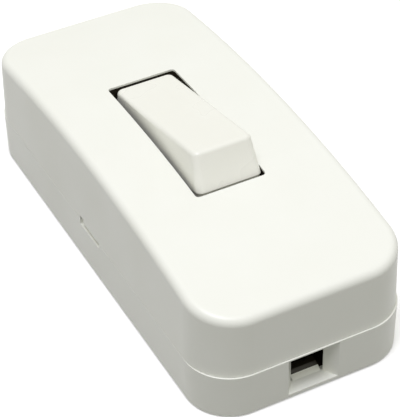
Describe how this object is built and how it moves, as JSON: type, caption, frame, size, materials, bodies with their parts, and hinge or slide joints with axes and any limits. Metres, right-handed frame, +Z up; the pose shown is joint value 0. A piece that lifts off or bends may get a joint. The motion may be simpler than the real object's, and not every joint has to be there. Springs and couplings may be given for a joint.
{
  "type": "inline cord switch",
  "caption": "White two-part housing with a crowned top, a rocker along its length and a cord port in each end, for a lamp cord.",
  "frame": {"origin": "middle of the flat base, on the surface that the switch lies on", "axes": "+X along the housing towards the raised end of the rocker, +Y across it, +Z up through the rocker"},
  "size_m": [0.07, 0.0308, 0.024],
  "materials": {
    "shell_plastic": "moulded, satin",
    "rocker_plastic": "moulded, smooth",
    "inner_plastic": "moulded",
    "brass": "stamped",
    "silver": "silver contact",
    "steel": "zinc plated"
  },
  "bodies": {
    "housing": {"upper_shell": "shell_plastic", "lower_shell": "shell_plastic", "live_in_terminal": "brass", "live_out_terminal": "brass", "neutral_link": "brass", "fixed_contact": "silver", "live_in_washer": "steel", "live_in_screw": "steel", "live_out_washer": "steel", "live_out_screw": "steel", "neutral_in_washer": "steel", "neutral_in_screw": "steel", "neutral_out_washer": "steel", "neutral_out_screw": "steel", "cord_clamp_in": "inner_plastic", "cord_clamp_out": "inner_plastic", "clamp_screws_in": "steel", "clamp_screws_out": "steel"},
    "rocker": {"rocker": "rocker_plastic", "rocker_spring": "steel"},
    "plunger": {"spring_plunger": "inner_plastic"},
    "blade": {"contact_blade": "brass", "blade_contact": "silver"}
  },
  "joints": [
    {"name": "rocker_pivot", "type": "hinge", "parent": "housing", "child": "rocker", "pos_m": [0, -0.0002, 0.0166], "axis": [0, 1, 0], "range_deg": [0, 24]},
    {"name": "plunger_slide", "type": "slide", "parent": "rocker", "child": "plunger", "axis": [-0.2079, 0, 0.9781], "range_m": [0, 0.0015], "stiffness_N_per_m": 20, "deforming": ["rocker_spring"]},
    {"name": "blade_pivot", "type": "hinge", "parent": "housing", "child": "blade", "pos_m": [0, 0, 0.0087], "axis": [0, 1, 0], "range_deg": [-20, 0]}
  ],
  "couplings": [
    {"joint": "blade_pivot", "follows": "rocker_pivot", "ratio": -0.83333}
  ]
}
